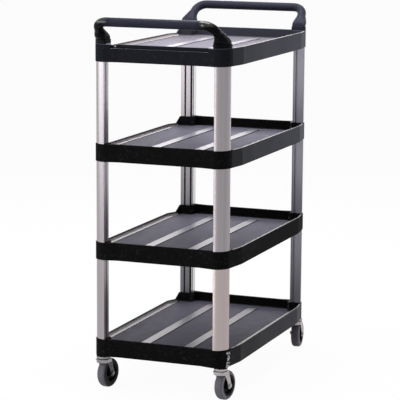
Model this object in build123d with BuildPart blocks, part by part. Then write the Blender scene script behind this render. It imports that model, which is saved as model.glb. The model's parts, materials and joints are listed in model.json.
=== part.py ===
from build123d import *
from math import cos, radians, sin, sqrt
import os

os.makedirs("parts", exist_ok=True)

# A utility cart with four moulded trays on quarter-round aluminium uprights, a push handle at each end
# and four swivel casters. Millimetres, +Z up, origin on the floor under the middle of the cart.
# The front end is at -X and the left side, with the low lips, is at +Y.

# Uprights: quarter-round extrusions, square corner inward, one slot in each inner face
upright_reach_x = 420.0
upright_reach_y = 240.0
upright_radius = 43.0
upright_wall = 2.5
slot_width = 6.0
slot_depth = 4.0
slot_from_corner_x = 15.0
slot_from_corner_y = 26.0
corner_rebate = 5.5

# Casters: heights are stacked up from the floor
wheel_diameter = 100.0
crown_clearance = 2.0
crown_thickness = 3.0
ball_diameter = 5.0
ball_play = 0.2
race_thickness = 4.0
boss_drop = 3.6
caster_inset = 25.0
caster_sidestep = -3.0
trail = 29.0
swivel_turns = {"front_left": -9.1, "front_right": -9.4, "rear_left": 4.0, "rear_right": 7.7}

# Trays
tier_names = ("bottom", "lower", "upper", "top")
tier_pitch = 336.0
rim_height = 60.0
floor_drop = 34.0
floor_thickness = 4.0
side_wall = 4.0
end_wall = 9.0
rim_round = 2.0
foot_round = 1.0
sleeve_wall = 2.5
end_inset = 7.0
end_ramp = 47.0
side_bulge = 14.0
side_ramp = 77.0
lip_bulge = 28.0
lip_ramp = 62.0
cove_radius = 5.0
block_size = 50.0
block_chamfer = 8.0

# Sockets for the uprights, in and under the corner blocks
socket_depth = 32.0
socket_web = 8.0
socket_clearance = 0.2
socket_wall = 4.0

# Floor strips with a groove along each edge, the low left lip and the ribs below
strip_width = 34.0
strip_pitch = 159.0
strip_middle = -57.5
strip_half_length = 360.0
strip_height = 1.2
edge_strip_width = 23.0
groove_width = 3.5
groove_depth = 1.0
lip_height = 10.0
lip_end_gap = 22.0
lip_end_run = 20.0
rib_thickness = 3.5
rib_pitch = 88.0

# The stepped top band on the top tray's end walls
band_height = 14.0
band_setback = 5.0
band_half_length = 174.5
notch_start = 158.0
notch_depth = 11.0
notch_run = 23.0

# Handles
collar_overhang = 6.0
collar_height = 14.0
collar_round = 4.0
grip_diameter = 31.0
grip_outreach = 40.0
grip_rise = 77.0
grip_half_span = 204.0
grip_bend = 40.0
neck_outreach = 1.5
neck_rise = 44.0
neck_half_span = 211.5
neck_radius = 17.0
neck_points = 16
neck_overlap = 10.0
neck_sink = 1.0
# Neck sections above the foot: rise, shift outward, shift to the middle, roundness, radius, lean in degrees
neck_stations = ((14.0, 0.0, 0.0, 0.2, 14.0, 0.0), (25.0, 6.0, 1.0, 0.45, 22.0, 15.0),
                 (34.0, 14.5, 2.5, 0.8, 19.5, 30.0))

# Fork and wheel
race_diameter = 47.0
race_lip = 2.0
ball_ring_radius = 19.0
ball_count = 14
ball_dam_radius = 15.0
ball_dam_height = 2.0
skirt_drop = 9.0
skirt_reach = 8.0
leg_thickness = 2.5
leg_gap = 34.5
leg_front = 18.0
leg_rear = 22.0
leg_waist_reach = 5.0
leg_waist_height = 80.0
leg_end_radius = 11.0
tread_width = 32.0
tread_round = 10.0
tyre_depth = 13.0
tyre_bond_gap = 0.05
core_rim_depth = 7.0
core_rim_inset = 1.5
core_web_thickness = 10.0
hub_radius = 14.0
hub_play = 0.5

# Stem, axle and fasteners
stem_radius = 6.0
stem_length = 24.0
stem_clearance = 0.1
swivel_clearance = 0.05
rivet_radius = 8.0
rivet_height = 4.3
rivet_play = 0.3
axle_radius = 4.0
axle_clearance = 0.1
bush_radius = 6.0
bush_clearance = 0.06
hex_flats = 13.0
bolt_head_height = 4.0
nut_height = 6.5
bolt_overrun = 1.5
screw_radius = 2.25
screw_clearance = 0.1
screw_bite = 5.0
screw_head_radius = 4.0
screw_head_height = 2.6
screw_drop = 21.0
recess_length = 5.0
recess_width = 1.3
recess_depth = 1.4

# Places that follow from the sizes above
corners = {"front_left": (-1, 1), "front_right": (-1, -1), "rear_left": (1, 1), "rear_right": (1, -1)}
corner_turns = {"front_left": 90, "front_right": 180, "rear_left": 0, "rear_right": 270}
hub_x = upright_reach_x - upright_radius
hub_y = upright_reach_y - upright_radius
column_radius = upright_radius + sleeve_wall
end_reach = upright_reach_x - end_inset
side_reach = upright_reach_y + side_bulge
lip_reach = upright_reach_y + lip_bulge
middle_shift = (side_reach - lip_reach) / 2
tray_half_length = end_reach - end_wall
swivel_x = upright_reach_x - caster_inset
swivel_y = upright_reach_y - caster_inset
swivel_places = [(side_x * swivel_x, side_y * swivel_y + caster_sidestep)
                 for side_x, side_y in corners.values()]
block_face_x = upright_reach_x - block_size
block_face_y = upright_reach_y - block_size
screw_depth = (block_size - upright_radius - block_chamfer / 2 + corner_rebate) * sqrt(2)

crown_bottom = wheel_diameter + crown_clearance
crown_top = crown_bottom + crown_thickness
ball_middle = crown_top + ball_play + ball_diameter / 2
race_bottom = ball_middle + ball_diameter / 2 + ball_play
boss_bottom = race_bottom + race_thickness
lowest_rim_bottom = boss_bottom + boss_drop
rim_tops = [lowest_rim_bottom + rim_height + tier_pitch * tier for tier in range(len(tier_names))]
top_rim = rim_tops[-1]
lower_socket_depth = rim_height - socket_depth - socket_web
axle_height = wheel_diameter / 2
leg_face = leg_gap / 2 + leg_thickness


def save(part, name):
    """Moves a solid from the uprights' middle to the middle of the whole width, and writes it."""
    placed = part.moved(Location((0, middle_shift, 0)))
    placed.label = name
    export_step(placed, f"parts/{name}.step")


def tray_plan(inset):
    """Plan of a tray: flat ends and sides that ramp to the four round corner columns."""
    with BuildSketch() as plan:
        with BuildLine():
            Polyline((0, -side_reach), (hub_x - side_ramp, -side_reach), (hub_x, -hub_y - column_radius))
            CenterArc((hub_x, -hub_y), column_radius, -90, 90)
            Polyline((hub_x + column_radius, -hub_y), (end_reach, end_ramp - hub_y),
                     (end_reach, hub_y - end_ramp), (hub_x + column_radius, hub_y))
            CenterArc((hub_x, hub_y), column_radius, 0, 90)
            Polyline((hub_x, hub_y + column_radius), (hub_x - lip_ramp, lip_reach), (0, lip_reach))
            mirror(about=Plane.YZ)
        make_face()
        if inset > 0:
            offset(amount=-inset)
    return plan.sketch


def upright_plan(side_x, side_y, growth):
    """Quarter-round outline of an upright in one corner, grown all round by a clearance or a wall."""
    square_corner = (side_x * hub_x, side_y * hub_y)
    end_point = (side_x * upright_reach_x, side_y * hub_y)
    side_point = (side_x * hub_x, side_y * upright_reach_y)
    turn = upright_radius if side_x * side_y < 0 else -upright_radius
    with BuildSketch() as plan:
        with BuildLine():
            Polyline(side_point, square_corner, end_point)
            RadiusArc(end_point, side_point, turn)
        make_face()
        if growth != 0:
            offset(amount=growth, kind=Kind.INTERSECTION)
    return plan.sketch


def block_plan():
    """Square of a corner block about the uprights' outer corner, with its inner corners chamfered."""
    with BuildSketch() as plan:
        Rectangle(2 * block_size, 2 * block_size)
        chamfer(plan.vertices(), length=block_chamfer)
    return plan.sketch


def collar_plan(side_x, side_y):
    """Outline of a handle's foot: flush with the corner column outside, overhanging the socket inside."""
    inner = (side_x * (hub_x - collar_overhang), side_y * (hub_y - collar_overhang))
    outer = (side_x * (hub_x + column_radius), side_y * (hub_y + column_radius))
    arc_start = (outer[0], side_y * hub_y)
    arc_end = (side_x * hub_x, outer[1])
    turn = column_radius if side_x * side_y < 0 else -column_radius
    with BuildSketch() as plan:
        with BuildLine():
            FilletPolyline(arc_end, (inner[0], outer[1]), inner, (outer[0], inner[1]), arc_start,
                           radius=collar_round)
            RadiusArc(arc_start, arc_end, turn)
        make_face()
    return plan.sketch


def make_tray(tier):
    """One moulded tray, with sockets for uprights, handles or caster stems in its corners."""
    rim_top = rim_tops[tier]
    rim_bottom = rim_top - rim_height
    floor_top = rim_top - floor_drop
    lip_top = floor_top + lip_height
    lip_inside = lip_reach - side_wall
    lip_low = hub_x - lip_end_gap
    is_top = tier == len(tier_names) - 1
    is_bottom = tier == 0
    with BuildPart() as tray:
        with BuildSketch(Plane.XY.offset(rim_bottom)):
            add(tray_plan(0))
        extrude(amount=rim_height)
        fillet(tray.edges().group_by(Axis.Z)[-1], radius=rim_round)
        fillet(tray.edges().group_by(Axis.Z)[0], radius=foot_round)

        # The hollow above the floor, clear of the corner blocks
        with BuildSketch(Plane.XY.offset(floor_top)):
            add(tray_plan(side_wall))
            Rectangle(2 * tray_half_length, 2 * lip_reach, mode=Mode.INTERSECT)
            with GridLocations(2 * upright_reach_x, 2 * upright_reach_y, 2, 2):
                add(block_plan(), mode=Mode.SUBTRACT)
        extrude(amount=floor_drop, mode=Mode.SUBTRACT)
        floor_face = tray.faces().sort_by_distance((0, 0, floor_top))[0]
        fillet(floor_face.edges(), radius=cove_radius)

        # The ribbed hollow below the floor, clear of the sockets
        rib_columns = int(2 * end_reach / rib_pitch)
        rib_rows = int((side_reach + lip_reach) / rib_pitch)
        with BuildSketch(Plane.XY.offset(rim_bottom)):
            add(tray_plan(side_wall))
            for side_x, side_y in corners.values():
                add(upright_plan(side_x, side_y, socket_wall), mode=Mode.SUBTRACT)
            with GridLocations(rib_pitch, 0, rib_columns, 1):
                Rectangle(rib_thickness, 2 * lip_reach, mode=Mode.SUBTRACT)
            with GridLocations(0, rib_pitch, 1, rib_rows):
                Rectangle(2 * end_reach, rib_thickness, mode=Mode.SUBTRACT)
        extrude(amount=rim_height - floor_drop - floor_thickness, mode=Mode.SUBTRACT)

        # Smooth raised strips along the floor, each with a groove on both sides, and one along the left lip
        strip_places = [(0, strip_middle + strip_pitch * step) for step in (-1, 0, 1)]
        with BuildSketch(Plane.XY.offset(floor_top)):
            with Locations(*strip_places):
                Rectangle(2 * strip_half_length, strip_width + 2 * groove_width)
        extrude(amount=-groove_depth, mode=Mode.SUBTRACT)
        with BuildSketch(Plane.XY.offset(floor_top - groove_depth)):
            with Locations(*strip_places):
                Rectangle(2 * strip_half_length, strip_width)
        extrude(amount=groove_depth + strip_height)
        with BuildSketch(Plane.XY.offset(floor_top)):
            with Locations((0, lip_inside - edge_strip_width / 2)):
                Rectangle(2 * (hub_x - lip_ramp), edge_strip_width)
        extrude(amount=strip_height)

        # The left wall is cut down to the lip between its two end steps
        with BuildSketch(Plane.XZ.offset(side_wall - upright_reach_y)):
            with BuildLine():
                Polyline((-lip_low, lip_top), (lip_low, lip_top), (lip_low + lip_end_run, rim_top),
                         (-lip_low - lip_end_run, rim_top), (-lip_low, lip_top))
            make_face()
        extrude(amount=-2 * lip_bulge, mode=Mode.SUBTRACT)

        # Sockets above and below, and the screw hole through each block
        for side_x, side_y in corners.values():
            with BuildSketch(Plane.XY.offset(rim_top - socket_depth)):
                add(upright_plan(side_x, side_y, socket_clearance))
            extrude(amount=socket_depth, mode=Mode.SUBTRACT)
            if not is_bottom:
                with BuildSketch(Plane.XY.offset(rim_bottom)):
                    add(upright_plan(side_x, side_y, socket_clearance))
                extrude(amount=lower_socket_depth, mode=Mode.SUBTRACT)
            with BuildSketch(screw_plane(side_x, side_y, rim_top)):
                Circle(screw_radius + screw_clearance)
            extrude(amount=screw_depth, mode=Mode.SUBTRACT)

        # On the top tray both end walls step back between the handle feet, with a notch beside the left foot
        if is_top:
            for side_x in (-1, 1):
                step_back = (side_x * (end_reach - band_setback), 0, rim_top)
                with BuildSketch(Plane(origin=step_back, x_dir=(0, side_x, 0), z_dir=(side_x, 0, 0))):
                    with Locations((0, -band_height / 2)):
                        Rectangle(2 * band_half_length, band_height)
                extrude(amount=2 * end_wall, mode=Mode.SUBTRACT)
                wall_inside = (side_x * tray_half_length, 0, rim_top)
                notch_edge = side_x * notch_start
                notch_tip = side_x * (notch_start + notch_run)
                with BuildSketch(Plane(origin=wall_inside, x_dir=(0, side_x, 0), z_dir=(side_x, 0, 0))):
                    with BuildLine():
                        Polyline((notch_edge, 0), (notch_edge, -notch_depth), (notch_tip, 0), (notch_edge, 0))
                    make_face()
                extrude(amount=2 * end_wall, mode=Mode.SUBTRACT)
        if is_bottom:
            with BuildSketch(Plane.XY.offset(boss_bottom)):
                with Locations(*swivel_places):
                    Circle(race_diameter / 2)
                add(tray_plan(0), mode=Mode.INTERSECT)
            extrude(amount=boss_drop)
            with BuildSketch(Plane.XY.offset(boss_bottom)):
                with Locations(*swivel_places):
                    Circle(stem_radius + stem_clearance)
            extrude(amount=stem_length + stem_clearance, mode=Mode.SUBTRACT)
    return tray.part


def screw_plane(side_x, side_y, rim_top):
    """Where a corner block's screw enters its chamfered inner corner, looking out along the diagonal."""
    place_x = side_x * (block_face_x + block_chamfer / 2)
    place_y = side_y * (block_face_y + block_chamfer / 2)
    entry = (place_x, place_y, rim_top - screw_drop)
    return Plane(origin=entry, x_dir=(-side_y, side_x, 0), z_dir=(side_x, side_y, 0))


def foot_outline(angle):
    """Distance from the middle of a handle foot to its outline, along a direction turned from outward."""
    ahead = cos(radians(angle))
    aside = sin(radians(angle))
    half_size = (column_radius + collar_overhang) / 2
    off_hub = column_radius - half_size
    along = -off_hub * (ahead + aside)
    to_square = half_size / max(abs(ahead), abs(aside))
    to_arc = along + sqrt(along ** 2 + column_radius ** 2 - 2 * off_hub ** 2)
    return min(to_square, to_arc)


def neck_section(place, side_y, roundness, radius):
    """Closed outline of a neck on a plane, from the foot's outline at roundness 0 to a circle at 1."""
    points = []
    for step in range(neck_points):
        angle = 360 * step / neck_points
        reach = (1 - roundness) * foot_outline(angle) + roundness * radius
        flat_point = (reach * cos(radians(angle)), side_y * reach * sin(radians(angle)), 0)
        points.append(place.from_local_coords(flat_point))
    with BuildLine() as outline:
        Spline(*points, periodic=True)
    return make_face(outline.edges())


def neck_sections(side_y, grip_start, grip_direction):
    """Sections of the rear handle's neck on one side, from its foot up into the start of the grip."""
    foot_middle = (column_radius - collar_overhang) / 2
    sections = []
    for rise, shift_out, shift_in, roundness, radius, lean in neck_stations:
        middle = (hub_x + foot_middle + shift_out, side_y * (hub_y + foot_middle - shift_in), top_rim + rise)
        across = (cos(radians(lean)), 0, -sin(radians(lean)))
        normal = (sin(radians(lean)), 0, cos(radians(lean)))
        place = Plane(origin=middle, x_dir=across, z_dir=normal)
        sections.append(neck_section(place, side_y, roundness, radius))
    across = (grip_direction.Z, 0, -grip_direction.X)
    place = Plane(origin=grip_start, x_dir=across, z_dir=grip_direction)
    sections.append(neck_section(place, side_y, 1, neck_radius))
    sections.append(neck_section(place.offset(neck_overlap), side_y, 1, grip_diameter / 2 - neck_sink))
    return sections


def make_handle():
    """The rear push handle: two plugged feet, necks that sweep outward and a round grip bent between them."""
    neck_x = upright_reach_x + neck_outreach
    grip_x = upright_reach_x + grip_outreach
    neck_z = top_rim + neck_rise
    grip_z = top_rim + grip_rise
    with BuildLine() as route:
        FilletPolyline((neck_x, neck_half_span, neck_z), (grip_x, grip_half_span, grip_z),
                       (grip_x, -grip_half_span, grip_z), (neck_x, -neck_half_span, neck_z),
                       radius=grip_bend)
    left_neck = neck_sections(1, route.line @ 0, route.line % 0)
    right_neck = neck_sections(-1, route.line @ 1, -(route.line % 1))
    with BuildPart() as handle:
        with BuildSketch(Plane(route.line @ 0, z_dir=route.line % 0)):
            Circle(grip_diameter / 2)
        sweep(path=route.line)
        for side_y, neck in ((1, left_neck), (-1, right_neck)):
            with BuildSketch(Plane.XY.offset(top_rim - socket_depth)):
                add(upright_plan(1, side_y, 0))
            extrude(amount=socket_depth)
            with BuildSketch(Plane.XY.offset(top_rim)):
                add(collar_plan(1, side_y))
            extrude(amount=collar_height)
            loft(neck)
            with BuildSketch(screw_plane(1, side_y, top_rim)):
                Circle(screw_radius + screw_clearance)
            extrude(amount=screw_depth + screw_bite, mode=Mode.SUBTRACT)
    return handle.part


def make_screws(tops):
    """Pan-head screws driven outward through the corner blocks under the given rims."""
    with BuildPart() as screws:
        for rim_top in tops:
            for side_x, side_y in corners.values():
                entry = screw_plane(side_x, side_y, rim_top)
                with BuildSketch(entry):
                    Circle(screw_radius)
                extrude(amount=screw_depth + screw_bite)
                with BuildSketch(entry):
                    Circle(screw_head_radius)
                extrude(amount=-screw_head_height)
                with BuildSketch(entry.offset(-screw_head_height)):
                    Rectangle(recess_length, recess_width)
                    Rectangle(recess_width, recess_length)
                extrude(amount=recess_depth, mode=Mode.SUBTRACT)
    return screws.part


# An upright with its square corner at X = Y = 0: slots, corner rebate, hollow core and a screw hole
core_inset = max(slot_depth, corner_rebate) + upright_wall
with BuildSketch() as core:
    Circle(upright_radius - upright_wall)
    with Locations((core_inset + upright_radius / 2, core_inset + upright_radius / 2)):
        Rectangle(upright_radius, upright_radius, mode=Mode.INTERSECT)
with BuildPart() as upright:
    with BuildSketch():
        Circle(upright_radius)
        with Locations((upright_radius / 2, upright_radius / 2)):
            Rectangle(upright_radius, upright_radius, mode=Mode.INTERSECT)
        with Locations((0, slot_from_corner_y)):
            Rectangle(2 * slot_depth, slot_width, mode=Mode.SUBTRACT)
        with Locations((slot_from_corner_x, 0)):
            Rectangle(slot_width, 2 * slot_depth, mode=Mode.SUBTRACT)
        Rectangle(2 * corner_rebate, 2 * corner_rebate, mode=Mode.SUBTRACT)
        add(core.sketch, mode=Mode.SUBTRACT)
    extrude(amount=tier_pitch - rim_height + socket_depth + lower_socket_depth)
    with BuildSketch(Plane(origin=(0, 0, socket_depth - screw_drop), x_dir=(-1, 1, 0), z_dir=(1, 1, 0))):
        Circle(screw_radius + screw_clearance)
    extrude(amount=2 * core_inset, mode=Mode.SUBTRACT)

# Trays, uprights, handles and their screws
for tier, tier_name in enumerate(tier_names):
    save(make_tray(tier), f"{tier_name}_tray")
for rim_top, level in zip(rim_tops, ("lower", "middle", "upper")):
    for corner, (side_x, side_y) in corners.items():
        stand = (side_x * hub_x, side_y * hub_y, rim_top - socket_depth)
        place = Location(stand, (0, 0, corner_turns[corner]))
        save(upright.part.moved(place), f"{corner}_{level}_upright")
rear_handle = make_handle()
save(rear_handle, "rear_handle")
save(rear_handle.moved(Location((0, 0, 0), (0, 0, 180))), "front_handle")
save(make_screws(rim_tops[:-1]), "upright_screws")
save(make_screws(rim_tops[-1:]), "handle_screws")

# Caster pieces stand about the swivel axis at X = Y = 0, trailing towards +X
axle_plane = Plane(origin=(trail, 0, axle_height), x_dir=(1, 0, 0), z_dir=(0, -1, 0))
crown_radius = race_diameter / 2

with BuildPart() as stem:
    with BuildSketch(Plane.XY.offset(crown_bottom - rivet_play - rivet_height)):
        Circle(rivet_radius)
    extrude(amount=rivet_height)
    fillet(stem.edges().group_by(Axis.Z)[0], radius=rivet_height / 3)
    with BuildSketch(Plane.XY.offset(crown_bottom - rivet_play)):
        Circle(stem_radius)
    extrude(amount=rivet_play + boss_bottom - crown_bottom + stem_length)
    chamfer(stem.edges().group_by(Axis.Z)[-1], length=stem_radius / 4)

with BuildPart() as race:
    with BuildSketch(Plane.XY.offset(race_bottom)):
        Circle(crown_radius)
        Circle(stem_radius, mode=Mode.SUBTRACT)
    extrude(amount=race_thickness)
    with BuildSketch(Plane.XY.offset(race_bottom)):
        Circle(crown_radius)
        Circle(crown_radius - race_lip, mode=Mode.SUBTRACT)
    extrude(amount=-ball_diameter / 2)
    fillet(race.edges().filter_by(GeomType.CIRCLE).sort_by(SortBy.RADIUS)[-2:], radius=race_lip / 2)

with BuildPart() as balls:
    with Locations((0, 0, ball_middle)):
        with PolarLocations(ball_ring_radius, ball_count):
            Sphere(ball_diameter / 2)

with BuildPart() as fork:
    with BuildSketch(Plane.XY.offset(crown_bottom)):
        Circle(crown_radius)
        with Locations(((leg_rear - leg_front) / 2, 0)):
            Rectangle(leg_front + leg_rear, 2 * leg_face)
        Circle(stem_radius + swivel_clearance, mode=Mode.SUBTRACT)
    extrude(amount=crown_thickness)
    with BuildSketch(Plane.XY.offset(crown_top)):
        Circle(ball_dam_radius)
        Circle(stem_radius + swivel_clearance, mode=Mode.SUBTRACT)
    extrude(amount=ball_dam_height)
    with BuildSketch(Plane.XY.offset(crown_bottom)):
        Circle(crown_radius)
        Circle(crown_radius - leg_thickness, mode=Mode.SUBTRACT)
        with Locations((-skirt_reach - crown_radius, 0)):
            Rectangle(2 * crown_radius, 2 * crown_radius, mode=Mode.INTERSECT)
    extrude(amount=-skirt_drop)
    for side in (-1, 1):
        with BuildSketch(Plane.XZ.offset(side * leg_face)):
            with BuildLine():
                Polyline((-leg_front, crown_bottom), (leg_rear, crown_bottom),
                         (trail + leg_end_radius, axle_height))
                CenterArc((trail, axle_height), leg_end_radius, 180, 180)
                ThreePointArc((trail - leg_end_radius, axle_height), (leg_waist_reach, leg_waist_height),
                              (-leg_front, crown_bottom))
            make_face()
        extrude(amount=-side * leg_thickness)
    with BuildSketch(axle_plane):
        Circle(axle_radius + axle_clearance)
    extrude(amount=leg_face, both=True, mode=Mode.SUBTRACT)

with BuildPart() as axle_bolt:
    with BuildSketch(axle_plane.offset(leg_face)):
        RegularPolygon(hex_flats / 2, 6, major_radius=False)
    extrude(amount=bolt_head_height)
    with BuildSketch(axle_plane.offset(leg_face)):
        Circle(axle_radius)
    extrude(amount=-(2 * leg_face + nut_height + bolt_overrun))

with BuildPart() as axle_nut:
    with BuildSketch(axle_plane.offset(-leg_face)):
        RegularPolygon(hex_flats / 2, 6, major_radius=False)
        Circle(axle_radius + axle_clearance, mode=Mode.SUBTRACT)
    extrude(amount=-nut_height)

with BuildPart() as axle_bush:
    with BuildSketch(axle_plane):
        Circle(bush_radius)
        Circle(axle_radius + axle_clearance, mode=Mode.SUBTRACT)
    extrude(amount=leg_gap / 2, both=True)

tyre_inside = wheel_diameter / 2 - tyre_depth
core_outside = tyre_inside - tyre_bond_gap
core_half_width = tread_width / 2 - core_rim_inset
web_outside = core_outside - core_rim_depth

with BuildPart() as wheel_core:
    with BuildSketch(axle_plane):
        Circle(hub_radius)
    extrude(amount=leg_gap / 2 - hub_play, both=True)
    with BuildSketch(axle_plane):
        Circle(core_outside)
    extrude(amount=core_web_thickness / 2, both=True)
    with BuildSketch(axle_plane):
        Circle(core_outside)
        Circle(web_outside, mode=Mode.SUBTRACT)
    extrude(amount=core_half_width, both=True)
    with BuildSketch(axle_plane):
        Circle(bush_radius + bush_clearance)
    extrude(amount=leg_gap / 2, both=True, mode=Mode.SUBTRACT)

with BuildPart() as tyre:
    with BuildSketch(axle_plane):
        Circle(wheel_diameter / 2)
        Circle(tyre_inside, mode=Mode.SUBTRACT)
    extrude(amount=tread_width / 2, both=True)
    shoulders = tyre.edges().filter_by(GeomType.CIRCLE).sort_by(SortBy.RADIUS)[-2:]
    fillet(shoulders, radius=tread_round)

caster_pieces = {"caster_stem": stem, "caster_race": race, "caster_balls": balls, "fork": fork,
                 "axle_bolt": axle_bolt, "axle_nut": axle_nut, "axle_bush": axle_bush,
                 "wheel_core": wheel_core, "tyre": tyre}
for corner, (swivel_foot_x, swivel_foot_y) in zip(corners, swivel_places):
    place = Location((swivel_foot_x, swivel_foot_y, 0), (0, 0, swivel_turns[corner]))
    for piece_name, piece in caster_pieces.items():
        save(piece.part.moved(place), f"{corner}_{piece_name}")
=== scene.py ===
import json
from math import cos, radians, sin

import bpy
from mathutils import Matrix, Vector

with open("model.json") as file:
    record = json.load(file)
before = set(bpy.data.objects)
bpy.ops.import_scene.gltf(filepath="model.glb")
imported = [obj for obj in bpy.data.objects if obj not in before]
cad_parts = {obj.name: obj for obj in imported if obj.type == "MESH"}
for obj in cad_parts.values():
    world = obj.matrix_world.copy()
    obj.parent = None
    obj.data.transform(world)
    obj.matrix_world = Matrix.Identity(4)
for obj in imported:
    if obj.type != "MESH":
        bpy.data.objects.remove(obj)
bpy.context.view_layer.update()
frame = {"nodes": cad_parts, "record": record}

scene = bpy.context.scene
scene.view_settings.view_transform = "Standard"

# Sizes and places that the materials share with the solids, in metres
TIER_PITCH = 0.336
LOWEST_FLOOR = 0.144
WIDTH_SHIFT = -0.007
HALF_LENGTH = 0.42
STRIP_MIDDLE = WIDTH_SHIFT - 0.0575
STRIP_PITCH = 0.159
STRIP_WIDTH = 0.034
STRIP_HEIGHT = 0.0012
STRIP_HALF_LENGTH = 0.360
EDGE_STRIP_START = WIDTH_SHIFT + 0.241
EDGE_STRIP_TOP = 0.0066
RIM_SPAN = (0.0324, 0.036)
STEP_SPAN = (0.019, 0.0205)
TOP_TRAY_START = 1.10
THIRD_TRAY_SPAN = (0.42, 0.53)
LOW_UPRIGHT_TOP = 0.47
INNER_FACE_X = 0.377
INNER_FACE_Y = 0.197
GRIP_HALF_LENGTH = 0.165
BEND_SPAN = (0.160, 0.205)
BEND_HEIGHT = 1.258
LEG_TOP = 0.092

# Where finishes and marks lie, and how softly they end, in metres
MARK_EDGE = 0.0008
ZONE_EDGE = 0.001
SIDE_BLEND = 0.15
FLOOR_MARGIN = 0.004
FLOOR_FADE = (2.5 * STRIP_HEIGHT, 1.5 * STRIP_HEIGHT)
STRIP_RISE = (0.55 * STRIP_HEIGHT, 0.9 * STRIP_HEIGHT)
NEAR_END = -0.372
FAR_HALF = (-0.10, 0.25)
FAR_TIP = (0.22, 0.34)
# Where the painted highlight down the near right corner of the lowest tray lies
GLINT_TURN = 0.152
GLINT_WANDER = 0.03
GLINT_WIDTH = 0.014
GLINT_SPAN = (0.112, 0.166)
GLINT_FADE = 0.006
RIGHT_CORNER_START = -0.191
GRIP_FADE = 0.02
BEND_FADE = 0.012
BEND_RISE = 0.006
SLOT_START = 0.001
UPRIGHT_SHADE_SPAN = (0.40, 1.05)

# How far a face turns in a direction, as a part of its normal, for a finish to start and to be full
FACING = (0.5, 0.7)
FACING_INWARD = (-0.6, -0.8)
LIP_FACING = (0.5, 0.3)
GRIP_FACING = (-0.6, 0.9)
BEND_FACING = (0.38, 0.50)
TYRE_SIDE_FACING = (0.55, 0.85)
EDGE_FACING = (0.98, 0.80)

# Camera: a long lens, a little above the top tray, in front and to the right of the cart
CAMERA_PLACE = (-6.2648, WIDTH_SHIFT - 2.4333, 1.7680)
CAMERA_YAW = radians(21.341)
CAMERA_PITCH = radians(9.796)
CAMERA_ROLL = radians(-0.364)
CAMERA_LENS = 173.77
CAMERA_SENSOR = 36.0
CAMERA_REACH = 60.0


def place_camera():
    level_ahead = Vector((cos(CAMERA_YAW), sin(CAMERA_YAW), 0.0))
    level_right = Vector((sin(CAMERA_YAW), -cos(CAMERA_YAW), 0.0))
    ahead = cos(CAMERA_PITCH) * level_ahead - Vector((0.0, 0.0, sin(CAMERA_PITCH)))
    level_down = ahead.cross(level_right)
    right = cos(CAMERA_ROLL) * level_right + sin(CAMERA_ROLL) * level_down
    down = cos(CAMERA_ROLL) * level_down - sin(CAMERA_ROLL) * level_right
    axes = Matrix((right, -down, -ahead)).transposed()
    data = bpy.data.cameras.new("camera")
    data.sensor_width = CAMERA_SENSOR
    data.lens = CAMERA_LENS
    data.clip_end = CAMERA_REACH
    camera = bpy.data.objects.new("camera", data)
    camera.matrix_world = Matrix.Translation(CAMERA_PLACE) @ axes.to_4x4()
    scene.collection.objects.link(camera)
    scene.camera = camera


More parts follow.
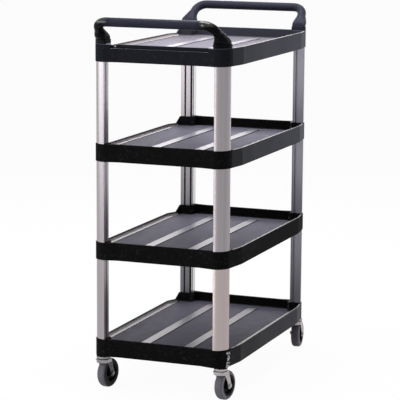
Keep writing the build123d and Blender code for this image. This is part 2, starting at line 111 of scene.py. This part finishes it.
# Materials
class Shader:
    """A material with one principled shader, and short calls that add nodes to its tree."""

    def __init__(self, name, **sockets):
        self.material = bpy.data.materials.new(name)
        self.material.use_nodes = True
        self.tree = self.material.node_tree
        self.tree.nodes.clear()
        self.body = self.node("ShaderNodeBsdfPrincipled")
        output = self.node("ShaderNodeOutputMaterial")
        self.tree.links.new(self.body.outputs["BSDF"], output.inputs["Surface"])
        for socket, value in sockets.items():
            self.body.inputs[socket.replace("_", " ")].default_value = value
        own = self.node("ShaderNodeTexCoord")
        self.place = own.outputs["Object"]
        self.own_normal = own.outputs["Normal"]
        self.normal = self.node("ShaderNodeNewGeometry").outputs["Normal"]

    def node(self, kind, **settings):
        made = self.tree.nodes.new(kind)
        for setting, value in settings.items():
            setattr(made, setting, value)
        return made

    def feed(self, socket, value):
        if isinstance(value, bpy.types.NodeSocket):
            self.tree.links.new(value, socket)
        else:
            socket.default_value = value

    def drive(self, socket, value):
        self.feed(self.body.inputs[socket], value)

    def math(self, operation, first, second=0.0):
        made = self.node("ShaderNodeMath", operation=operation)
        for socket, value in zip(made.inputs, (first, second)):
            self.feed(socket, value)
        return made.outputs[0]

    def product(self, *factors):
        result = factors[0]
        for factor in factors[1:]:
            result = self.math("MULTIPLY", result, factor)
        return result

    def inverse(self, mask):
        return self.math("SUBTRACT", 1.0, mask)

    def larger(self, first, second):
        return self.math("MAXIMUM", first, second)

    def size_of(self, value):
        return self.math("ABSOLUTE", value)

    def parts_of(self, vector):
        made = self.node("ShaderNodeSeparateXYZ")
        self.feed(made.inputs[0], vector)
        return made.outputs

    def noise(self, scale, detail=3.0, stretch=None, roughness=0.5):
        made = self.node("ShaderNodeTexNoise")
        place = self.place
        if stretch:
            mapping = self.node("ShaderNodeMapping")
            self.feed(mapping.inputs["Vector"], place)
            mapping.inputs["Scale"].default_value = stretch
            place = mapping.outputs[0]
        self.feed(made.inputs["Vector"], place)
        made.inputs["Scale"].default_value = scale
        made.inputs["Detail"].default_value = detail
        made.inputs["Roughness"].default_value = roughness
        return made.outputs["Fac"]

    def cells(self, scale):
        made = self.node("ShaderNodeTexVoronoi", feature="SMOOTH_F1")
        self.feed(made.inputs["Vector"], self.place)
        made.inputs["Scale"].default_value = scale
        return made.outputs["Distance"]

    def span(self, value, low, high, to_low=0.0, to_high=1.0):
        """The value, carried evenly from low..high to to_low..to_high and held at their ends."""
        made = self.node("ShaderNodeMapRange")
        for socket, part in zip(made.inputs, (value, low, high, to_low, to_high)):
            self.feed(socket, part)
        return made.outputs[0]

    def above(self, value, edge, softness):
        return self.span(value, edge, edge + softness)

    def below(self, value, edge, softness):
        return self.span(value, edge + softness, edge)

    def between(self, value, low, high, softness):
        return self.product(self.above(value, low, softness), self.below(value, high, softness))

    def tint(self, factor, low, high):
        """A mix of two colours, which are inputs 6 and 7 of the mix node."""
        made = self.node("ShaderNodeMix", data_type="RGBA")
        for socket, value in zip((made.inputs[0], made.inputs[6], made.inputs[7]), (factor, low, high)):
            self.feed(socket, value)
        return made.outputs[2]

    def blend(self, factor, low, high):
        """A mix of two numbers, which are inputs 2 and 3 of the mix node."""
        made = self.node("ShaderNodeMix")
        for socket, value in zip((made.inputs[0], made.inputs[2], made.inputs[3]), (factor, low, high)):
            self.feed(socket, value)
        return made.outputs[0]

    def toward_rear(self):
        """1 in the rear half of the cart, 0 in the front half."""
        return self.span(self.parts_of(self.place)[0], -SIDE_BLEND, SIDE_BLEND)

    def toward_left(self):
        """1 in the left half of the cart, 0 in the right half."""
        return self.span(self.parts_of(self.place)[1], -SIDE_BLEND, SIDE_BLEND)

    def outward(self, axis, place):
        """How far a face turns away from the cart's middle along one axis, from -1 to 1."""
        return self.product(self.parts_of(self.normal)[axis], self.math("SIGN", place))

    def eased(self, radius):
        """The normal with the edges of the solid rounded."""
        made = self.node("ShaderNodeBevel", samples=4)
        made.inputs["Radius"].default_value = radius
        return made.outputs[0]

    def wear_and_shade_edges(self, radius):
        """1 along convex and concave edges, 0 on flat and gently curved faces."""
        product = self.node("ShaderNodeVectorMath", operation="DOT_PRODUCT")
        self.feed(product.inputs[0], self.eased(radius))
        self.feed(product.inputs[1], self.normal)
        return self.span(product.outputs["Value"], *EDGE_FACING)

    def bump(self, height, distance, strength, rounding):
        made = self.node("ShaderNodeBump")
        made.inputs["Strength"].default_value = strength
        made.inputs["Distance"].default_value = distance
        self.feed(made.inputs["Height"], height)
        self.feed(made.inputs["Normal"], self.eased(rounding))
        self.drive("Normal", made.outputs[0])


def grey(level, red=1.0, green=1.0, blue=1.0):
    return (level * red, level * green, level * blue, 1.0)


class TrayPlaces:
    """Masks, from 0 to 1, for the parts of a tray, from place, height above the tray's floor and facing."""

    def __init__(self, shader):
        x, y, z = shader.parts_of(shader.place)
        facing = shader.parts_of(shader.normal)
        over_lowest = shader.math("SUBTRACT", z, LOWEST_FLOOR - FLOOR_MARGIN)
        over_margin = shader.math("FLOORED_MODULO", over_lowest, TIER_PITCH)
        level = shader.math("SUBTRACT", over_margin, FLOOR_MARGIN)
        upward = shader.span(facing[2], *FACING)
        low = shader.span(level, *FLOOR_FADE)
        self.top = shader.above(z, TOP_TRAY_START, ZONE_EDGE)
        self.third = shader.between(z, *THIRD_TRAY_SPAN, ZONE_EDGE)
        self.farther = shader.span(x, -HALF_LENGTH, HALF_LENGTH)
        self.far_half = shader.span(x, *FAR_HALF)
        self.far_tip = shader.span(x, *FAR_TIP)
        self.near_end = shader.below(x, NEAR_END, ZONE_EDGE)
        self.sideways = shader.span(shader.size_of(facing[1]), *FACING)
        self.floor = shader.product(low, upward)

        # Smooth strips along the floor, and the one beside the low left lip
        within = shader.below(shader.size_of(x), STRIP_HALF_LENGTH - MARK_EDGE / 2, MARK_EDGE)
        shifted = shader.math("SUBTRACT", y, STRIP_MIDDLE - STRIP_PITCH * 1.5)
        wrapped = shader.math("FLOORED_MODULO", shifted, STRIP_PITCH)
        from_middle = shader.size_of(shader.math("SUBTRACT", wrapped, STRIP_PITCH / 2))
        in_row = shader.below(from_middle, (STRIP_WIDTH - MARK_EDGE) / 2, MARK_EDGE)
        on_edge = shader.above(y, EDGE_STRIP_START, MARK_EDGE)
        below_lip = shader.below(level, EDGE_STRIP_TOP, MARK_EDGE)
        raised = shader.span(level, *STRIP_RISE)
        inward = shader.span(facing[1], *LIP_FACING)
        lip_foot = shader.product(raised, below_lip, inward)
        self.edge_strip = shader.product(on_edge, shader.larger(lip_foot, self.floor), within)
        self.strip = shader.larger(shader.product(in_row, low, raised, within), self.edge_strip)

        # Rims of the walls, and the ledges of the top tray, which carry a painted highlight
        rims = shader.between(level, *RIM_SPAN, ZONE_EDGE)
        self.side_rim = shader.product(rims, within)
        end_rim = shader.product(rims, shader.inverse(within))
        step = shader.between(level, *STEP_SPAN, MARK_EDGE)
        self.ledge_highlight = shader.product(shader.larger(shader.product(step, upward), end_rim), self.top)

        # Rubbing along the tray, and a painted highlight in a torn streak down the near right corner of the
        # lowest tray
        self.rubbing = shader.noise(90.0, detail=4.0, stretch=(0.06, 1.0, 1.0), roughness=0.65)
        wander = shader.product(self.rubbing, GLINT_WANDER)
        round_corner = shader.math("ADD", shader.math("SUBTRACT", y, x), wander)
        from_glint = shader.size_of(shader.math("SUBTRACT", round_corner, GLINT_TURN))
        narrow = shader.below(from_glint, GLINT_WIDTH / 2, GLINT_WIDTH / 2)
        tall = shader.between(z, *GLINT_SPAN, GLINT_FADE)
        torn = shader.span(shader.noise(120.0), 0.50, 0.54)
        right = shader.below(y, RIGHT_CORNER_START, ZONE_EDGE)
        self.corner_glint = shader.product(narrow, tall, torn, right, self.near_end)


def tray_material():
    """Textured black moulding with dusty floors, smooth strips and rims made paler as painted reflection,
    painted light on the side walls towards the rear, on the top tray and on the floors' far half, and painted
    highlights on the top tray's ledges and down one corner.
    """
    shader = Shader("tray_moulding", Specular_IOR_Level=0.035, Coat_Roughness=0.30, Coat_IOR=1.42,
                    Sheen_Roughness=0.24, Sheen_Tint=(0.79, 0.78, 1.0, 1.0))
    places = TrayPlaces(shader)
    smooth = shader.larger(shader.product(places.strip, 0.8), places.side_rim)
    cloud = shader.noise(7.0, detail=4.0)
    dust = shader.noise(38.0, detail=7.0, roughness=0.7)
    rubbed = shader.span(places.rubbing, 0.58, 0.75)
    scratching = shader.noise(150.0, detail=5.0, stretch=(0.04, 0.7, 1.0), roughness=0.7)
    scratched = shader.span(scratching, 0.60, 0.72)
    patchy = shader.span(dust, 0.38, 0.62)

    black = shader.tint(cloud, grey(0.0018, 1.0, 1.0, 1.1), grey(0.0030, 1.0, 1.0, 1.1))
    # Painted light: the side walls turn paler and bluish towards the rear, except on the third tray, and the
    # top tray's walls are paler, most towards the rear
    far_side_light = shader.product(places.farther, places.sideways, shader.inverse(places.third))
    lower_walls = shader.tint(far_side_light, black, grey(0.028, 0.90, 0.91, 1.42))
    top_walls = shader.tint(places.farther, grey(0.010, 0.93, 0.98, 1.3), grey(0.046, 0.91, 0.93, 1.32))
    walls = shader.tint(places.top, lower_walls, top_walls)
    dusty = shader.tint(patchy, grey(0.030, 0.92, 0.92, 1.35), grey(0.045, 0.95, 0.94, 1.25))
    # Patchy dust; the top tray's floor and the far half of the lower floors are paler as painted light
    top_dust_and_light = shader.tint(patchy, grey(0.085, 1.06, 0.95, 0.97), grey(0.115, 1.06, 0.95, 0.97))
    far_dust_and_light = shader.tint(places.far_half, dusty, grey(0.060, 0.95, 0.94, 1.25))
    floors = shader.tint(places.top, far_dust_and_light, top_dust_and_light)
    base = shader.tint(places.floor, walls, floors)
    marked = shader.tint(shader.product(rubbed, 0.35), base, grey(0.03, 1.0, 0.97, 1.2))
    scored = shader.tint(shader.product(scratched, 0.25), marked, grey(0.12, 1.0, 0.97, 1.1))
    # Painted highlight on the top tray's ledges and end rims
    with_ledge_highlight = shader.tint(places.ledge_highlight, scored, grey(0.22, 0.85, 0.98, 1.2))
    edged = shader.tint(shader.product(shader.wear_and_shade_edges(0.003), 0.35), with_ledge_highlight, grey(0.05, 1.06, 1.0, 0.95))
    # Painted highlight: a pale torn streak down the near right corner of the lowest tray
    with_corner_glint = shader.tint(places.corner_glint, edged, grey(0.80, 0.98, 1.0, 1.02))
    # Painted reflection: the smooth strips and side rims are paler than the moulding; the strips' far tips
    # are paler still as painted light in the far wall's shade, and the strip beside the left lip is paler as
    # painted light in the lip's shadow
    row = shader.tint(places.far_tip, grey(0.12, 1.18, 1.0, 1.02), grey(0.32, 1.10, 1.0, 1.0))
    edge = shader.tint(places.far_tip, grey(0.32, 1.12, 1.0, 1.0), grey(0.45, 1.08, 1.0, 1.0))
    stripes = shader.tint(places.edge_strip, row, edge)
    shader.drive("Base Color", shader.tint(smooth, with_corner_glint, stripes))
    shader.drive("Coat Weight", smooth)
    low_dust = shader.blend(places.far_half, 0.56, 1.0)
    shader.drive("Sheen Weight", shader.product(places.floor, shader.blend(places.top, low_dust, 1.0)))

    wall_grain = shader.span(cloud, 0.3, 0.7, 0.38, 0.46)
    floor_grain = shader.span(dust, 0.38, 0.62, 0.50, 0.64)
    grain = shader.blend(places.floor, wall_grain, floor_grain)
    dull = shader.larger(places.near_end, shader.product(places.third, shader.inverse(places.floor)))
    rough = shader.blend(dull, grain, 0.75)
    polish = shader.span(places.rubbing, 0.35, 0.7, 0.30, 0.40)
    shader.drive("Roughness", shader.blend(smooth, rough, polish))

    pebbles = shader.product(shader.cells(620.0), shader.inverse(smooth))
    height = shader.math("ADD", pebbles, shader.product(rubbed, -0.2))
    shader.bump(height, distance=0.00012, strength=0.7, rounding=0.0012)
    return shader.material


def handle_material():
    """Blue-black moulding with a fine grain, greyer on the grip, with painted light on the upper faces of the
    grip and the rear handle and on the rear handle as a whole, polished on its bends.
    """
    shader = Shader("handle_moulding", Specular_IOR_Level=0.03, Coat_Roughness=0.10, Coat_IOR=1.5)
    x, y, z = shader.parts_of(shader.place)
    cloud = shader.noise(9.0, detail=4.0)
    worn = shader.span(shader.noise(55.0, detail=5.0), 0.55, 0.75)
    from_middle = shader.size_of(shader.math("SUBTRACT", y, WIDTH_SHIFT))
    grip = shader.span(from_middle, GRIP_HALF_LENGTH + GRIP_FADE, GRIP_HALF_LENGTH - GRIP_FADE)
    farther = shader.span(x, -HALF_LENGTH, HALF_LENGTH)
    upward = shader.span(shader.parts_of(shader.normal)[2], *GRIP_FACING)
    # Painted light: the upper faces of the grip and of the rear handle are paler than their lower faces, and
    # the handle is paler towards the rear
    black = shader.tint(cloud, grey(0.002, 0.95, 0.97, 1.2), grey(0.004, 0.95, 0.97, 1.2))
    shaded_under = shader.tint(cloud, grey(0.015, 0.88, 0.92, 1.4), grey(0.024, 0.88, 0.92, 1.4))
    lit_over = shader.tint(cloud, grey(0.030, 0.88, 0.92, 1.4), grey(0.044, 0.88, 0.92, 1.4))
    base = shader.tint(shader.larger(grip, farther), black, shader.tint(upward, shaded_under, lit_over))
    shader.drive("Base Color", shader.tint(shader.product(worn, 0.3), base, grey(0.03, 1.0, 1.0, 1.2)))
    bends = shader.between(from_middle, *BEND_SPAN, BEND_FADE)
    upper = shader.above(z, BEND_HEIGHT, BEND_RISE)
    outer = shader.span(shader.outward(0, x), *BEND_FACING)
    shader.drive("Coat Weight", shader.product(bends, upper, outer))
    shader.drive("Roughness", shader.span(worn, 0.0, 1.0, 0.26, 0.34))
    shader.bump(shader.noise(1500.0, detail=2.0), distance=0.00006, strength=0.6, rounding=0.0015)
    return shader.material


def aluminium_material():
    """Satin anodised extrusion with lines along its length, painted shade in its slots and along its edges,
    painted light on the left uprights, a painted warm reflection low at the front right, bluish painted shade
    on the right uprights' inner end faces, painted shade on the rear left uprights' inner end faces and a
    painted glint on their inner side faces.
    """
    shader = Shader("anodised_extrusion", Metallic=1.0)
    x, y, z = shader.parts_of(shader.place)
    across = shader.math("SUBTRACT", y, WIDTH_SHIFT)
    lines = shader.noise(900.0, stretch=(1.0, 1.0, 0.01))
    streaks = shader.span(shader.noise(70.0, detail=2.0, stretch=(1.0, 1.0, 0.004)), 0.30, 0.70)
    cloud = shader.noise(5.0, stretch=(1.0, 1.0, 0.4))

    # Sides of the cart, inner faces, and what lies deeper than them: the slots and the corner rebate
    left = shader.toward_left()
    right = shader.inverse(left)
    rear = shader.toward_rear()
    rear_left = shader.product(rear, left)
    near_right = shader.product(shader.inverse(rear), right)
    endwise = shader.span(shader.outward(0, x), *FACING_INWARD)
    sidewise = shader.span(shader.outward(1, across), *FACING_INWARD)
    past_end_face = shader.above(shader.size_of(x), INNER_FACE_X + SLOT_START, MARK_EDGE)
    past_side_face = shader.above(shader.size_of(across), INNER_FACE_Y + SLOT_START, MARK_EDGE)
    recessed = shader.larger(shader.product(endwise, past_end_face), shader.product(sidewise, past_side_face))
    # Painted shade in the slots and the corner rebate, weaker on the right uprights
    slot_shade = shader.product(recessed, shader.blend(left, 0.2, 1.0))

    dull = shader.tint(lines, grey(0.25, 1.0, 0.92, 0.97), grey(0.29, 1.0, 0.92, 0.97))
    bright = shader.tint(lines, grey(0.30, 1.0, 0.92, 0.96), grey(0.34, 1.0, 0.92, 0.96))
    bluish = shader.tint(lines, grey(0.21, 0.94, 0.93, 1.08), grey(0.25, 0.94, 0.93, 1.08))
    # Painted shade, bluish, on the inward end faces of the right uprights
    drawn = shader.tint(shader.product(endwise, right), shader.tint(streaks, dull, bright), bluish)
    # Painted light: the left uprights are paler
    lit_left = shader.tint(shader.product(left, 0.5), drawn, grey(0.365, 1.0, 0.92, 0.965))
    # Painted reflection: a warm tone low on the near right upright
    low_near_right = shader.product(shader.below(z, LOW_UPRIGHT_TOP, ZONE_EDGE), near_right, 0.7)
    warm = shader.tint(low_near_right, lit_left, grey(0.416, 1.09, 0.915, 0.89))
    shade = shader.product(rear_left, endwise, shader.span(z, *UPRIGHT_SHADE_SPAN, 0.85, 0.0))
    dimmed = shader.tint(shade, warm, grey(0.12, 0.95, 0.95, 1.1))
    glinting = shader.tint(shader.product(rear_left, sidewise), dimmed, grey(0.55, 1.02, 1.0, 0.96))
    slot_shaded = shader.tint(slot_shade, glinting, grey(0.03, 1.0, 0.95, 1.1))
    # Painted shade along the edges
    edge_shade = shader.product(shader.wear_and_shade_edges(0.0024), 0.9)
    shader.drive("Base Color", shader.tint(edge_shade, slot_shaded, grey(0.03, 1.0, 0.95, 1.1)))
    shader.drive("Roughness", shader.span(cloud, 0.3, 0.7, 0.28, 0.36))
    shader.bump(lines, distance=0.00003, strength=0.5, rounding=0.0006)
    return shader.material


def plated_material():
    """Bright zinc-plated pressing, mottled, with painted shade along its edges, and painted shade on the left
    casters, darkest on their fork legs.
    """
    shader = Shader("bright_zinc", Metallic=1.0)
    cloud = shader.noise(70.0, detail=4.0)
    height = shader.parts_of(shader.place)[2]
    bright = shader.tint(cloud, grey(0.24, 1.06, 0.97, 1.0), grey(0.52, 1.04, 0.97, 0.99))
    # Painted shade on the left casters, darkest on the fork legs
    left_shade_tone = shader.tint(cloud, grey(0.10, 1.0, 1.0, 1.08), grey(0.46, 1.03, 0.97, 1.0))
    leg = shader.tint(cloud, grey(0.035, 1.0, 1.0, 1.1), grey(0.10, 1.0, 0.99, 1.05))
    left_shaded = shader.tint(shader.below(height, LEG_TOP, ZONE_EDGE), left_shade_tone, leg)
    base = shader.tint(shader.toward_left(), bright, left_shaded)
    # Painted shade along the edges
    edge_shade = shader.product(shader.wear_and_shade_edges(0.0016), 0.75)
    shader.drive("Base Color", shader.tint(edge_shade, base, grey(0.06, 1.0, 1.0, 1.1)))
    shader.drive("Roughness", shader.span(shader.cells(420.0), 0.1, 0.9, 0.16, 0.30))
    shader.bump(shader.noise(260.0), distance=0.00008, strength=0.5, rounding=0.0012)
    return shader.material


def steel_material(name, level):
    """Plated steel of the screws, and of the bolts, nuts, stems and balls, with painted shade on the left
    side.
    """
    shader = Shader(name, Metallic=1.0)
    cloud = shader.noise(140.0, detail=4.0)
    base = shader.tint(cloud, grey(0.8 * level, 1.0, 0.99, 0.96), grey(1.2 * level, 1.0, 0.99, 0.97))
    # Painted shade on the left side
    left_shade = shader.product(shader.toward_left(), 0.7)
    left_shaded = shader.tint(left_shade, base, grey(0.1 * level, 1.0, 1.0, 1.1))
    shader.drive("Base Color", shader.tint(shader.wear_and_shade_edges(0.0008), left_shaded, grey(1.2 * level)))
    shader.drive("Roughness", shader.span(cloud, 0.3, 0.7, 0.30, 0.42))
    shader.bump(shader.noise(500.0), distance=0.00005, strength=0.5, rounding=0.0005)
    return shader.material


def tyre_material():
    """Grey rubber with patches of dust, with painted light on the sides of the right wheels and painted shade
    on the sides of the left ones.
    """
    shader = Shader("grey_rubber", Specular_IOR_Level=0.12)
    dust = shader.noise(60.0, detail=5.0, roughness=0.6)
    across = shader.size_of(shader.parts_of(shader.own_normal)[1])
    beside = shader.span(across, *TYRE_SIDE_FACING)
    tread = shader.tint(dust, grey(0.075, 1.0, 0.93, 1.12), grey(0.16, 1.0, 0.93, 1.10))
    # Painted light on the sides of the right wheels, painted shade on those of the left wheels
    lit_side = shader.tint(dust, grey(0.17, 1.0, 0.95, 1.10), grey(0.26, 1.0, 0.95, 1.08))
    shaded_side = shader.tint(dust, grey(0.014, 1.0, 0.97, 1.10), grey(0.030, 1.0, 0.97, 1.08))
    side = shader.tint(shader.toward_left(), lit_side, shaded_side)
    shader.drive("Base Color", shader.tint(beside, tread, side))
    shader.drive("Roughness", shader.span(dust, 0.3, 0.7, 0.55, 0.75))
    shader.bump(shader.noise(700.0), distance=0.00012, strength=0.6, rounding=0.001)
    return shader.material


def core_material():
    """Black moulded wheel core."""
    shader = Shader("black_core", Specular_IOR_Level=0.06)
    cloud = shader.noise(45.0, detail=4.0)
    base = shader.tint(cloud, grey(0.004), grey(0.009, 1.0, 1.0, 1.1))
    shader.drive("Base Color", base)
    shader.drive("Roughness", shader.span(cloud, 0.3, 0.7, 0.38, 0.5))
    shader.bump(shader.noise(900.0, detail=2.0), distance=0.0001, strength=0.6, rounding=0.001)
    return shader.material


def dress_nodes():
    """Every carried-over solid takes the material of its slot in the record."""
    finishes = {
        "tray": tray_material(),
        "handle": handle_material(),
        "upright": aluminium_material(),
        "screw": steel_material("dark_steel", level=0.09),
        "caster_steel": steel_material("zinc_steel", level=0.36),
        "plated_pressing": plated_material(),
        "tyre": tyre_material(),
        "wheel_core": core_material(),
    }
    for part in frame["record"]["subparts"]:
        node = frame["nodes"][part["node"]]
        node.data.materials.clear()
        node.data.materials.append(finishes[part["material_slot"]])


# Floor, background and light
def shown_share(tree, plain, shown):
    """A value for ordinary rays, and another for the rays that show the background directly or mirrored."""
    path = tree.nodes.new("ShaderNodeLightPath")
    level = path.outputs["Is Camera Ray"]
    for ray in ("Is Glossy Ray", "Is Transmission Ray"):
        either = tree.nodes.new("ShaderNodeMath")
        either.operation = "MAXIMUM"
        tree.links.new(level, either.inputs[0])
        tree.links.new(path.outputs[ray], either.inputs[1])
        level = either.outputs[0]
    spread = tree.nodes.new("ShaderNodeMapRange")
    tree.links.new(level, spread.inputs["Value"])
    spread.inputs["To Min"].default_value = plain
    spread.inputs["To Max"].default_value = shown
    return spread.outputs[0]


def make_world():
    world = bpy.data.worlds.new("studio")
    world.use_nodes = True
    tree = world.node_tree
    background = tree.nodes["Background"]
    background.inputs["Color"].default_value = (1.0, 1.0, 1.0, 1.0)
    tree.links.new(shown_share(tree, plain=0.28, shown=1.0), background.inputs["Strength"])
    scene.world = world


def make_floor():
    """A pale floor that shows the white of the background, and keeps the soft shadow under the cart."""
    half = 40.0
    corners = [(-half, -half, 0.0), (half, -half, 0.0), (half, half, 0.0), (-half, half, 0.0)]
    mesh = bpy.data.meshes.new("floor")
    mesh.from_pydata(corners, [], [(0, 1, 2, 3)])
    floor = bpy.data.objects.new("floor", mesh)
    scene.collection.objects.link(floor)
    material = bpy.data.materials.new("pale_floor")
    material.use_nodes = True
    tree = material.node_tree
    shader = tree.nodes["Principled BSDF"]
    shader.inputs["Base Color"].default_value = (0.9, 0.9, 0.9, 1.0)
    shader.inputs["Roughness"].default_value = 0.9
    shader.inputs["Specular IOR Level"].default_value = 0.0
    glow = tree.nodes.new("ShaderNodeEmission")
    mixer = tree.nodes.new("ShaderNodeMixShader")
    tree.links.new(shown_share(tree, plain=0.0, shown=0.96), mixer.inputs[0])
    tree.links.new(shader.outputs[0], mixer.inputs[1])
    tree.links.new(glow.outputs[0], mixer.inputs[2])
    tree.links.new(mixer.outputs[0], tree.nodes["Material Output"].inputs["Surface"])
    mesh.materials.append(material)


def add_lamp(name, place, aim, size, watts, colour=(1.0, 1.0, 1.0)):
    data = bpy.data.lights.new(name, "AREA")
    data.shape = "RECTANGLE"
    data.size, data.size_y = size
    data.energy = watts
    data.color = colour
    lamp = bpy.data.objects.new(name, data)
    lamp.location = place
    lamp.rotation_euler = (Vector(aim) - Vector(place)).to_track_quat("-Z", "Y").to_euler()
    lamp.visible_camera = False
    scene.collection.objects.link(lamp)


def make_lamps():
    middle = (0.0, 0.0, 0.7)
    warm = (1.0, 0.95, 0.97)
    bluish = (0.75, 0.80, 1.0)
    add_lamp("back_light", place=(3.2, 1.4, 2.1), aim=middle, size=(3.0, 1.4), watts=46.0, colour=warm)
    add_lamp("top_light", place=(0.0, -0.1, 2.7), aim=middle, size=(1.6, 1.4), watts=52.0)
    add_lamp("left_light", place=(-2.1, 2.4, 1.4), aim=(-0.3, 0.1, 0.8), size=(3.6, 2.0), watts=60.0)
    add_lamp("right_light", place=(3.0, -2.0, 0.9), aim=middle, size=(1.6, 1.6), watts=10.0, colour=bluish)
    add_lamp("edge_light", place=(-1.7, 0.05, 0.8), aim=(-0.4, -0.2, 0.7), size=(0.2, 2.0), watts=6.0)


place_camera()
dress_nodes()
make_world()
make_floor()
make_lamps()
